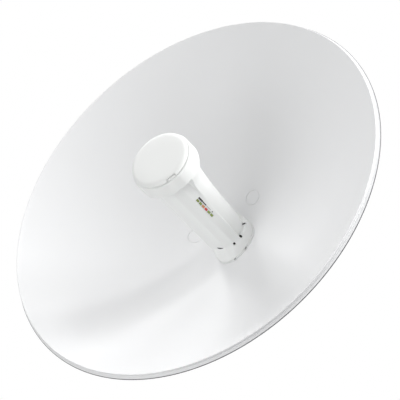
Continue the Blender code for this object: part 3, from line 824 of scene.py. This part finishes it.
def feed_block(turn, across, along, outward):
    """A block on the feed. Across and outward count from the axis, and along from the lip."""
    out = around(FEED_TURN + turn, 1.0)
    side = around(FEED_TURN + turn + 90.0, 1.0)
    mesh = bmesh.new()
    bmesh.ops.create_cube(mesh, size=1.0)
    for corner in mesh.verts:
        spans = zip((across, along, outward), corner.co)
        a, b, c = [span[0] if place < 0 else span[1] for span, place in spans]
        corner.co = side * a + Vector((0.0, LIP_Y + b, 0.0)) + out * c
    mesh.normal_update()
    bmesh.ops.recalc_face_normals(mesh, faces=mesh.faces)
    return mesh


def flat_face(first):
    """The turn of a flat's outward direction and its distance from the axis."""
    (a_turn, a_far), (b_turn, b_far) = FLAT_CORNERS[first : first + 2]
    a, b = around(a_turn, a_far), around(b_turn, b_far)
    run = (b - a).normalized()
    out = Vector((run.z, 0.0, -run.x))
    if out.dot(a) < 0.0:
        out.negate()
    return math.degrees(math.atan2(out.x, -out.z)), out.dot(a)


def flat_height(first, along):
    """The distance of a flat from the axis at a place along the tapering tube."""
    share = (along - COLLAR_END) / (BASE_END - COLLAR_END)
    return flat_face(first)[1] * (1.0 + (FLAT_TAPER - 1.0) * share)


def window_along(number):
    """The start and the end of a window along the tube."""
    middle = WINDOW_START + WINDOW_PITCH * number
    return middle - WINDOW_LENGTH / 2, middle + WINDOW_LENGTH / 2


def slot_blocks(places, start):
    """Small blocks that cut slots at the front edge of a step."""
    blocks = []
    for turn, radius in places:
        outward = (radius - 1.8 * SLOT_DEPTH, radius + SLOT_DEPTH)
        along = (start - SLOT_DEPTH / 2, start + SLOT_DEPTH)
        blocks.append(feed_block(turn, (-SLOT_HALF, SLOT_HALF), along, outward))
    return blocks


window_turn = flat_face(2)[0]
blocks = []
for number in range(WINDOWS):
    low, high = window_along(number)
    surface = flat_height(2, (low + high) / 2)
    across = (WINDOW_ACROSS - WINDOW_WIDTH / 2 - GAP, WINDOW_ACROSS + WINDOW_WIDTH / 2 + GAP)
    outward = (surface - POCKET_DEPTH, POCKET_OUT)
    blocks.append(feed_block(window_turn, across, (low - GAP, high + GAP), outward))
blocks += slot_blocks(FOOT_PLACES, BASE_START)
tube = boolean(tube, join(blocks))
# Its finish paints shade deep inside the latch slots.
place_piece("feed_housing", tube, WHITE_WITH_PAINTED_SLOT_SHADE, "feed_tube", sharp=40.0)
print("windows face", round(window_turn, 1), "degrees from the near side")

# %% Set the windows in their pockets
WINDOW_FINISHES = [("indicator_power", "olive_lens"), ("indicator_link", "green_lens")]
for number, tone in enumerate(("orange", "red", "green", "green")):
    WINDOW_FINISHES.append((f"indicator_signal_{number + 1}", f"{tone}_lens"))
for number, (node, lens) in enumerate(WINDOW_FINISHES):
    low, high = window_along(number)
    surface = flat_height(2, (low + high) / 2)
    across = (WINDOW_ACROSS - WINDOW_WIDTH / 2, WINDOW_ACROSS + WINDOW_WIDTH / 2)
    outward = (surface - WINDOW_DEPTH, surface + WINDOW_PROUD)
    window = feed_block(window_turn, across, (low, high), outward)
    place_piece(f"{node}_lens", rounded(window, 0.0002), LENSES[lens], node)

# %% [markdown]
# ## The printed mark
# A fine mark is printed beside the windows. It stands here as a plain bar that grows
# narrower and paler towards its end, and a dot. They are thin plates a few hundredths of
# a millimetre thick, because ink has a body of its own and a plate keeps its clean edge
# from any side.

# %% Print the bar and the dot
PRINT_ACROSS = 0.0010
PRINT_HEIGHT = 0.00006
PRINT_ROOT = 0.0003


def print_plate(name, along, half, finish):
    """A thin plate of ink on the flat with the windows."""
    surface = flat_height(2, sum(along) / 2)
    across = (PRINT_ACROSS - half, PRINT_ACROSS + half)
    plate = feed_block(window_turn, across, along, (surface - PRINT_ROOT, surface + PRINT_HEIGHT))
    place_piece(name, plate, finish)


print_plate("status_bar_dark", (-0.0124, -0.0042), 0.00085, PRINT_INK)
print_plate("status_bar_narrow", (-0.0039, 0.0026), 0.00055, PRINT_INK)
print_plate("status_bar_pale", (0.0029, 0.0112), 0.0004, PALE_INK)
print_plate("status_dot", (0.0143, 0.0155), 0.0006, PRINT_INK)

# %% [markdown]
# ## The cap and its catch
# A snap-on cap closes the tube. Its face is flat and its edge is a full round, which is
# what draws the bright crescent on its right. It is spun like the tube, and the notch for
# the catch is cut from its edge. The catch is a small tongue with rounded corners.

# %% Spin the cap
CAP_EDGE = 0.0046
CAP_RISE = 0.0030
CAP_ARC = 10
CATCH_TURN = -7.0
CATCH_HALF = 0.0053
CATCH_FLOOR = 0.0288
CATCH_SCRAPE = 0.0296
CATCH_START = CAP_FRONT + 0.0024
CATCH_OUT = 0.036

cap_face = LIP_Y + CAP_FRONT
profile = [(0.0, cap_face), (0.010, cap_face), (0.020, cap_face + 0.0001)]
profile.append((CAP_RADIUS - CAP_EDGE - 0.0016, cap_face + 0.0002))
for step in range(1, CAP_ARC + 1):
    turn = math.radians(90.0) * step / CAP_ARC
    radius = CAP_RADIUS - CAP_EDGE + CAP_EDGE * math.sin(turn)
    profile.append((radius, cap_face + 0.0003 + CAP_RISE * (1.0 - math.cos(turn))))
cap_back = cap_face + CAP_HEIGHT
profile += [(CAP_RADIUS, cap_back - 0.0006), (CAP_RADIUS - 0.0002, cap_back - 0.0002)]
profile += [(CAP_RADIUS - 0.0006, cap_back), (0.0, cap_back)]
cap = spin_profile(profile, 160)
across = (-CATCH_HALF, CATCH_HALF)
along = (CAP_FRONT + 0.0006, CATCH_START)
scrape = feed_block(CATCH_TURN, across, along, (CATCH_SCRAPE, CATCH_OUT))
along = (CATCH_START - GAP, CAP_FRONT + CAP_HEIGHT + 0.001)
notch = feed_block(CATCH_TURN, across, along, (CATCH_FLOOR, CATCH_OUT))
cap = boolean(cap, scrape)
cap = boolean(cap, notch)
place_piece("feed_end_cap", cap, MOULDED_WHITE, "feed_cap", sharp=40.0)
along = (CATCH_START, CAP_FRONT + CAP_HEIGHT + 0.0005)
half = CATCH_HALF - 2 * GAP
catch = feed_block(CATCH_TURN, (-half, half), along, (CATCH_FLOOR + GAP, CAP_RADIUS - 2 * GAP))
place_piece("feed_cap_catch", rounded(catch, 0.0003), MOULDED_WHITE, "cap_catch")

# %% [markdown]
# ## The base ring
# Between the foot and the bowl lies a thin moulded ring. Its underside follows the curve of
# the bowl and its outline follows the foot, so it is spun first and then kept only inside
# the outline. Small slots open along its edge.

# %% Spin the base ring
ring_top = LIP_Y + BASE_END + GAP
ring_inner = SPIGOT_RADIUS + GAP
wide = COLLAR_RADIUS
profile = [
    (ring_inner, ring_top),
    (wide, ring_top),
    (wide, dish_front(wide) - GAP / 3),
    *[(radius, dish_front(radius) - GAP / 3) for radius in (0.031, 0.029, 0.027, 0.025, 0.023)],
    (HUB_HOLE, dish_front(HUB_HOLE) - GAP / 3),
    (ring_inner, dish_front(HUB_HOLE) - GAP),
]
ring = spin_profile(profile, 144, closed=True)
outline = foot_outline(RING_WIDER)
heights = (ring_top - 0.010, ring_top + 0.010)
keep = hull([Vector((place.x, y, place.z)) for place in outline for y in heights])
ring = boolean(ring, keep, "INTERSECT")
ring = boolean(ring, join(slot_blocks(LATCH_PLACES, ring_top - LIP_Y)))
place_piece("feed_base_ring", ring, MOULDED_WHITE, "base_ring")

# %% [markdown]
# ## The housing behind the bowl
# The socket for the cable sits behind the bowl in a round moulded housing. Its door covers
# the socket and lets the cable in through a rubber gland, and a tab on top releases the
# tube. The housing is spun, its openings are cut, and long ribs round its wall give a
# grip.

# %% Spin and cut the rear housing
HUB_RADIUS = 0.0290
HUB_FLANGE = 0.0335
HUB_LENGTH = 0.0380
PORT_START = -0.0365
PORT_HALF = 0.0070
DOOR_HALF = 0.0110
DOOR_LENGTH = 0.0200
DOOR_SEAT = 0.0055
TAB_HALF = 0.0070
TAB_START = 0.0040
TAB_END = 0.0160
TAB_SEAT = 0.0025
GROMMET_RADIUS = 0.0042
GROMMET_LIP = 0.0025
# Each pair is a step in front of the hub's end and a fall from its full radius.
HUB_EDGE = [(0.0060, 0.0), (0.0038, 0.0004), (0.0018, 0.0015), (0.0005, 0.0032), (0.0, 0.0052)]
HUB_EDGE += [(0.0, 0.0100), (0.0005, 0.0104), (0.0005, 0.0110), (0.0, 0.0114)]
RIB_HALF = 0.0009
RIB_DEPTH = 0.0007


def square_tool(low, high):
    """A block from its lowest to its highest corner."""
    mesh = bmesh.new()
    bmesh.ops.create_cube(mesh, size=1.0)
    for corner in mesh.verts:
        corner.co = [a if place < 0 else b for a, b, place in zip(low, high, corner.co)]
    return mesh


plate_front = LIP_Y + DISH_DEPTH + SHEET + GAP
hub_end = plate_front + HUB_LENGTH
seat = dish_front(HUB_HOLE) + SHEET + GAP
profile = [
    (0.0, LIP_Y + SPIGOT_END + GAP),
    (ring_inner, LIP_Y + SPIGOT_END + GAP),
    (ring_inner, seat),
    (HUB_HOLE, seat),
    (HUB_FLANGE, dish_front(HUB_FLANGE) + SHEET + GAP),
    (HUB_FLANGE, plate_front + 0.0020),
    (HUB_FLANGE - 0.0008, plate_front + 0.0028),
    (HUB_RADIUS + 0.0010, plate_front + 0.0032),
    (HUB_RADIUS + 0.0002, plate_front + 0.0038),
    (HUB_RADIUS, plate_front + 0.0048),
    *[(HUB_RADIUS - fall, hub_end - step) for step, fall in HUB_EDGE],
    (0.0, hub_end),
]
hub = spin_profile(profile, 160)
door_low = (-DOOR_HALF - GAP, PORT_START - GAP, -HUB_RADIUS - 0.002)
door_high = (DOOR_HALF + GAP, PORT_START + DOOR_LENGTH + GAP, -HUB_RADIUS + DOOR_SEAT)
port_low = (-PORT_HALF, PORT_START + 0.003, -HUB_RADIUS + DOOR_SEAT - 0.001)
port_high = (PORT_HALF, PORT_START + 0.019, -0.014)
tab_low = (-TAB_HALF - GAP, PORT_START + TAB_START - GAP, HUB_RADIUS - TAB_SEAT)
tab_high = (TAB_HALF + GAP, PORT_START + TAB_END + GAP, HUB_RADIUS + TAB_SEAT)
for low, high in ((door_low, door_high), (port_low, port_high), (tab_low, tab_high)):
    hub = boolean(hub, square_tool(low, high))
grip = []
for turn in [side * (62.0 + 12.0 * step) for side in (1.0, -1.0) for step in range(5)]:
    outward = (HUB_RADIUS - RIB_DEPTH, HUB_RADIUS + 0.002)
    groove = feed_block(turn - FEED_TURN, (-RIB_HALF, RIB_HALF), (0.0, 1.0), outward)
    for corner in groove.verts:
        corner.co.y = plate_front + 0.0100 if corner.co.y < LIP_Y + 0.5 else hub_end - 0.0100
    grip.append(groove)
hub = boolean(hub, join(grip))
place_piece("rear_housing", hub, MOULDED_WHITE, "rear_hub", sharp=40.0)

# %% Shape the door, the gland and the release tab
door_top = -HUB_RADIUS + DOOR_SEAT - GAP
door_end = PORT_START + DOOR_LENGTH
inlet = Vector((0.0, PORT_START + DOOR_LENGTH / 2, 0.0))
profile = [(0.0, PORT_START), (HUB_RADIUS, PORT_START), (HUB_RADIUS, door_end), (0.0, door_end)]
door = spin_profile(profile, 160)
door = boolean(door, square_tool((-DOOR_HALF, -1.0, -1.0), (DOOR_HALF, 1.0, door_top)), "INTERSECT")


def upright_bar(radius, low, high, sides):
    """A bar along Z with a round or many-sided section."""
    mesh = bmesh.new()
    size = {"segments": sides, "radius1": radius, "radius2": radius, "depth": high - low}
    bmesh.ops.create_cone(mesh, cap_ends=True, **size)
    return shift(mesh, (0.0, 0.0, (low + high) / 2))


bore = upright_bar(GROMMET_RADIUS + GAP, -HUB_RADIUS - 0.006, door_top + 0.002, 40)
door = boolean(door, shift(bore, inlet))
place_piece("cable_door", rounded(door, 0.0003, 40.0), MOULDED_WHITE, "port_door", sharp=40.0)
gland_low = -HUB_RADIUS - GROMMET_LIP
gland_wide = GROMMET_RADIUS + GROMMET_LIP / 2
gland_seat = -HUB_RADIUS - GAP
profile = [
    (0.0, gland_low + 0.0012),
    (0.0012, gland_low + 0.0012),
    (0.0016, gland_low + 0.0003),
    (0.0022, gland_low),
    (GROMMET_RADIUS + 0.0004, gland_low),
    (gland_wide, gland_low + 0.0006),
    (gland_wide, gland_seat - 0.0004),
    (GROMMET_RADIUS + 0.0008, gland_seat),
    (GROMMET_RADIUS, gland_seat),
    (GROMMET_RADIUS, door_top - 0.0003),
    (GROMMET_RADIUS - 0.0003, door_top),
    (0.0, door_top),
]
gland = shift(spin_profile(profile, 48, upright=True), inlet)
place_piece("cable_gland", gland, CABLE_RUBBER, "cable_grommet")
tab_low = (-TAB_HALF, PORT_START + TAB_START, HUB_RADIUS - TAB_SEAT + GAP)
tab_high = (TAB_HALF, PORT_START + TAB_END, HUB_RADIUS + 0.0015)
tab = square_tool(tab_low, tab_high)
ridges = []
for number in range(4):
    start = PORT_START + TAB_START + 0.0020 + 0.0024 * number
    low = (-TAB_HALF + 0.0014, start, HUB_RADIUS + 0.0010)
    ridges.append(square_tool(low, (TAB_HALF - 0.0014, start + 0.0010, 0.05)))
tab = boolean(tab, join(ridges))
place_piece("release_slider", rounded(tab, 0.00025, 40.0), MOULDED_WHITE, "release_tab", sharp=40.0)

# %% [markdown]
# ## Steel plates
# The bracket is folded and pressed from plated sheet. Its solids already have the right
# outline, holes and folds, but every edge is knife-sharp. A copy of each solid is merged
# into flat faces and its edges get a small round, because a worked steel edge always
# catches a line of light.

# %% Round the edges of the steel plates
def softened(node, width):
    """A copy of a solid with its flat faces merged and its edges rounded."""
    mesh = bmesh.new()
    mesh.from_mesh(nodes[node].data)
    bmesh.ops.remove_doubles(mesh, verts=mesh.verts, dist=0.000005)
    bmesh.ops.dissolve_limit(
        mesh,
        angle_limit=math.radians(1.0),
        use_dissolve_boundaries=False,
        verts=mesh.verts,
        edges=mesh.edges,
    )
    return rounded(mesh, width, 20.0)


for node in ("dish_bracket", "pole_bracket"):
    place_piece(f"{node}_plate", softened(node, 0.0004), ZINC_PLATE, node)

# %% [markdown]
# ## Bolts and nuts
# Round parts look faceted when they are copied from the solids, so the bolts are turned
# and the nuts are cut from hexagons with chamfered corners, as real nuts are. Each is
# shaped along Z and then laid where its solid sits.

# %% Shape a bolt and a nut
BOLT_RADIUS = 0.0030
THREAD_DEPTH = 0.0003
THREAD_PITCH = 0.0010
NUT_RADIUS = 0.0058
NUT_BORE = 0.0033
NUT_FALL = 0.0006
HEAD_HEIGHT = 0.0040


def chamfered_hexagon(low, high, bore=0.0):
    """A hexagon along Z whose corners are turned down, with a bore for a nut."""
    mesh = upright_bar(NUT_RADIUS, low, high, 6)
    face, corner = NUT_RADIUS - 0.0009, NUT_RADIUS + 0.0002
    outline = [(0.0, low), (face, low), (corner, low + NUT_FALL)]
    outline += [(corner, high - NUT_FALL), (face, high), (0.0, high)]
    mesh = boolean(mesh, spin_profile(outline, 48, upright=True), "INTERSECT")
    if bore:
        start, end = low - 0.001, high + 0.001
        outline = [(0.0, start), (bore, start), (bore, end), (0.0, end)]
        tool = spin_profile(outline, 32, upright=True)
        mesh = boolean(mesh, tool)
    return mesh


def threaded_shank(low, high, smooth_to):
    """A shank with rings of thread from a plain part to its chamfered end."""
    profile = [(0.0, low), (BOLT_RADIUS, low), (BOLT_RADIUS, smooth_to)]
    place = smooth_to
    while place + THREAD_PITCH < high - 0.0008:
        profile.append((BOLT_RADIUS - THREAD_DEPTH, place + 0.45 * THREAD_PITCH))
        profile.append((BOLT_RADIUS, place + 0.9 * THREAD_PITCH))
        place += THREAD_PITCH
        profile.append((BOLT_RADIUS, place))
    profile += [(BOLT_RADIUS - 0.0002, high - 0.0006), (BOLT_RADIUS - 0.0007, high), (0.0, high)]
    return spin_profile(profile, 32, upright=True)


def lay(mesh, centre, axis, sign):
    """Lay a part made along Z onto an axis of the object."""
    way = {"X": Vector((sign, 0.0, 0.0)), "Y": Vector((0.0, sign, 0.0))}[axis]
    turn = Vector((0.0, 0.0, 1.0)).rotation_difference(way).to_matrix()
    bmesh.ops.rotate(mesh, verts=mesh.verts, cent=(0.0, 0.0, 0.0), matrix=turn)
    return shift(mesh, centre)


def turned_bolt(length, head):
    """A bolt along Z: its hexagonal head below zero and its shank above."""
    top = chamfered_hexagon(-head, 0.0)
    return boolean(top, threaded_shank(-0.0005, length, length * 0.35), "UNION")


def span_of(node, axis):
    """The lowest and highest place of a solid on an axis, and its middle."""
    low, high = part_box(node)
    return low[axis], high[axis], (Vector(low) + Vector(high)) / 2


print("nuts across their corners in mm:", round(2000 * NUT_RADIUS, 1))

# %% Lay the bolts and nuts
for number in range(1, 5):
    low, high, middle = span_of(f"dish_bolt_{number}", 1)
    mesh = turned_bolt(high - low - HEAD_HEIGHT, HEAD_HEIGHT)
    mesh = lay(mesh, (middle.x, high - HEAD_HEIGHT, middle.z), "Y", -1)
    place_piece(f"dish_screw_{number}", mesh, BOLT_STEEL, f"dish_bolt_{number}")

for side, sign in (("left", -1), ("right", 1)):
    for job in ("pivot", "lock"):
        low, high, middle = span_of(f"tilt_{job}_bolt_{side}", 0)
        start = high - HEAD_HEIGHT if sign > 0 else low + HEAD_HEIGHT
        mesh = turned_bolt(high - low - HEAD_HEIGHT, HEAD_HEIGHT)
        mesh = lay(mesh, (start, middle.y, middle.z), "X", -sign)
        place_piece(f"tilt_{job}_screw_{side}", mesh, BOLT_STEEL, f"tilt_{job}_bolt_{side}")
        low, high, middle = span_of(f"tilt_{job}_nut_{side}", 0)
        nut = chamfered_hexagon(0.0, high - low, NUT_BORE)
        mesh = lay(nut, (low, middle.y, middle.z), "X", 1)
        place_piece(f"tilt_{job}_screw_nut_{side}", mesh, BOLT_STEEL, f"tilt_{job}_nut_{side}")
print("pieces so far:", len(made_pieces))

# %% [markdown]
# ## Floor and light
# The antenna hangs high on its pole, so the pale floor lies well below the camera, which
# looks up. A bowl gathers light from every side and sends it back onto itself, so its soft
# fans of light and shade come from a whole arc of soft boxes. The low ones at the right
# and above graze the far wall, the broad ones at the lower left fill the middle, and
# narrow ones let the tube throw a soft streak. Their strengths were balanced against each
# other, until the brightness of the bowl agreed in every part. The world is a plain white
# that is brighter to the camera than it is as a light.

# %% Lay the floor
FLOOR_Z = -3.75
FLOOR_SIZE = 60.0
FLOOR_TEXTURE = ((0.7, 0.8), (20.0, 5.0, 0.5), (0.05, 0.001), (3.0, 0.0))
floor_mesh = bmesh.new()
bmesh.ops.create_grid(floor_mesh, x_segments=1, y_segments=1, size=FLOOR_SIZE / 2)
floor = as_object("studio_floor", shift(floor_mesh, (0.0, 0.0, FLOOR_Z)))
floor_paint = make_finish("studio_floor_paint", (0.80, 0.80, 0.80), 0.02, *FLOOR_TEXTURE)
floor.data.materials.append(floor_paint)
floor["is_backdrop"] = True
print("floor below the pole bracket in m:", -FLOOR_Z)

# %% Set the lights and the world
LIGHT_DISTANCE = 2.6
LIGHT_AIM = Vector((0.0, LIP_Y + 0.04, 0.0))
WORLD_LIGHT = 0.38


def soft_box(name, turn, tilt, size, power):
    """A square light at a turn about the boresight from straight down, tilted off the axis."""
    data = bpy.data.lights.new(name, "AREA")
    data.shape = "SQUARE"
    data.size = size
    data.energy = power
    light = bpy.data.objects.new(name, data)
    bpy.context.scene.collection.objects.link(light)
    way = around(turn, math.sin(math.radians(tilt)))
    way.y = -math.cos(math.radians(tilt))
    light.location = LIGHT_AIM + way * LIGHT_DISTANCE
    light.rotation_euler = way.to_track_quat("Z", "Y").to_euler()


# Each box has a name, a turn, a tilt, the length of its side in metres and its watts.
SOFT_BOXES = [
    ("lower_left_fill", -36.0, 30.0, 2.2, 16.5),
    ("left_fill", -60.0, 45.0, 2.2, 9.3),
    ("left_box", -45.0, 50.0, 1.2, 5.0),
    ("near_low_fill", -10.0, 75.0, 2.2, 8.1),
    ("right_grazing_box", 90.0, 88.0, 1.2, 56.4),
    ("right_narrow_box", 105.0, 60.0, 0.4, 8.2),
    ("right_low_narrow_box", 105.0, 75.0, 0.4, 9.1),
    ("upper_right_box", 135.0, 72.0, 1.2, 13.2),
    ("upper_box", 180.0, 72.0, 1.2, 12.4),
    ("upper_narrow_box", 180.0, 60.0, 0.4, 6.8),
    ("upper_left_narrow_box", 195.0, 75.0, 0.4, 5.4),
]
for box in SOFT_BOXES:
    soft_box(*box)
world = bpy.data.worlds.new("studio_world")
bpy.context.scene.world = world
world.use_nodes = True
background = world.node_tree.nodes["Background"]
background.inputs["Color"].default_value = (1.0, 1.0, 1.0, 1.0)
ray = world.node_tree.nodes.new("ShaderNodeLightPath")
strength = remap(world.node_tree, ray.outputs["Is Camera Ray"], 0.0, 1.0, WORLD_LIGHT, 1.0)
world.node_tree.links.new(strength, background.inputs["Strength"])
bpy.context.scene.view_settings.view_transform = "Standard"

# %% [markdown]
# ## Check the size
# The box of the finished pieces is set against the box of the solids, and their largest
# difference is printed. The finished pieces must fill the same box as the solids.

# %% Print the largest difference
now_low, now_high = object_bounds()
corners = zip((*cad_low, *cad_high), (*now_low, *now_high))
print("largest difference in mm:", round(1000 * max(abs(a - b) for a, b in corners), 2))
